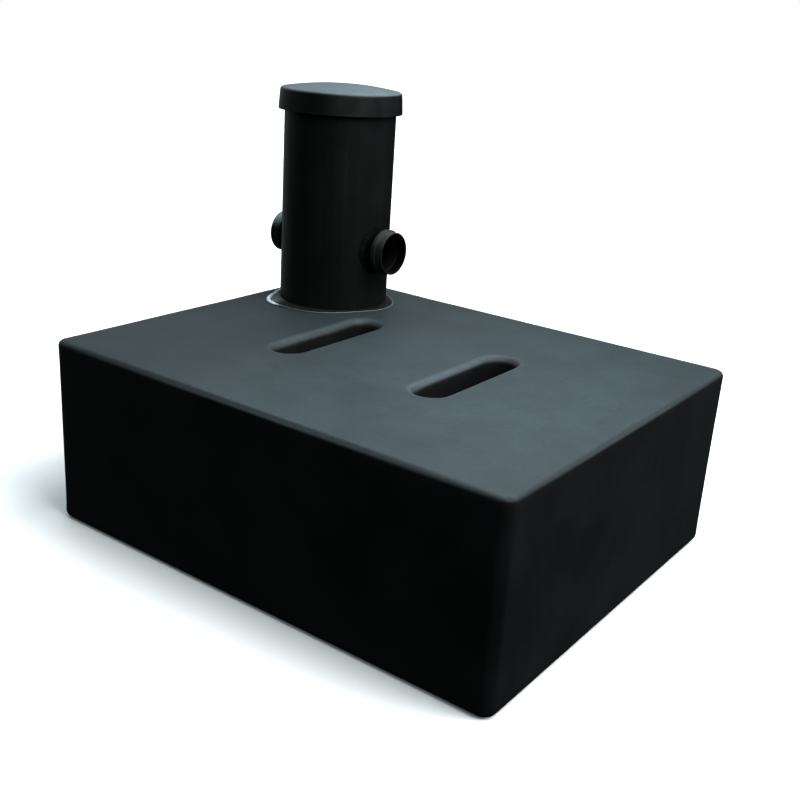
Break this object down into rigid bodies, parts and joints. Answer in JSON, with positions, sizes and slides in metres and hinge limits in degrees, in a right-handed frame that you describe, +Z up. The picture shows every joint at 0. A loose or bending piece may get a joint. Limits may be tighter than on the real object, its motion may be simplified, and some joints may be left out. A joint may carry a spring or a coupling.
{
  "type": "low-profile water tank with riser",
  "caption": "Shallow hollow moulded water tank with through-slots, a capped corner riser with opposed pipe sockets and a lift-out filter basket.",
  "frame": {"origin": "centre of the tank's flat underside", "axes": "+Z up along the riser, +X along the tank's length towards the outlet socket, +Y across it towards the riser's side"},
  "size_m": [1.3405, 1.08, 1.102],
  "materials": {
    "tank_plastic": "rotationally moulded polyethylene, fine orange peel",
    "riser_plastic": "extruded pipe, smooth satin",
    "socket_plastic": "injection moulded, satin",
    "cap_plastic": "injection moulded, satin, weathered top",
    "seal_rubber": "black rubber, matt",
    "sealant": "pale grey sealant, hand laid",
    "basket_plastic": "injection moulded, satin",
    "bail_steel": "stainless wire"
  },
  "bodies": {
    "tank": {"tank_shell": "tank_plastic", "riser_tube": "riser_plastic", "outlet_socket": "socket_plastic", "inlet_socket": "socket_plastic", "outlet_lip_seal": "seal_rubber", "inlet_lip_seal": "seal_rubber", "outlet_wall_seal": "seal_rubber", "inlet_wall_seal": "seal_rubber", "foot_gasket": "seal_rubber", "foot_bead": "sealant", "basket_support_ring": "riser_plastic"},
    "cap": {"riser_cap": "cap_plastic", "cap_seal_ring": "seal_rubber"},
    "basket": {"filter_basket": "basket_plastic"},
    "bail": {"basket_bail": "bail_steel"}
  },
  "joints": [
    {"name": "cap_lift", "type": "slide", "parent": "tank", "child": "cap", "axis": [0, 0, 1], "range_m": [0, 0.12]},
    {"name": "basket_lift", "type": "slide", "parent": "tank", "child": "basket", "axis": [0, 0, 1], "range_m": [0, 0.36]},
    {"name": "bail_swing", "type": "hinge", "parent": "basket", "child": "bail", "pos_m": [-0.472, 0.312, 0.5753], "axis": [1, 0, 0], "range_deg": [0, 180]}
  ]
}
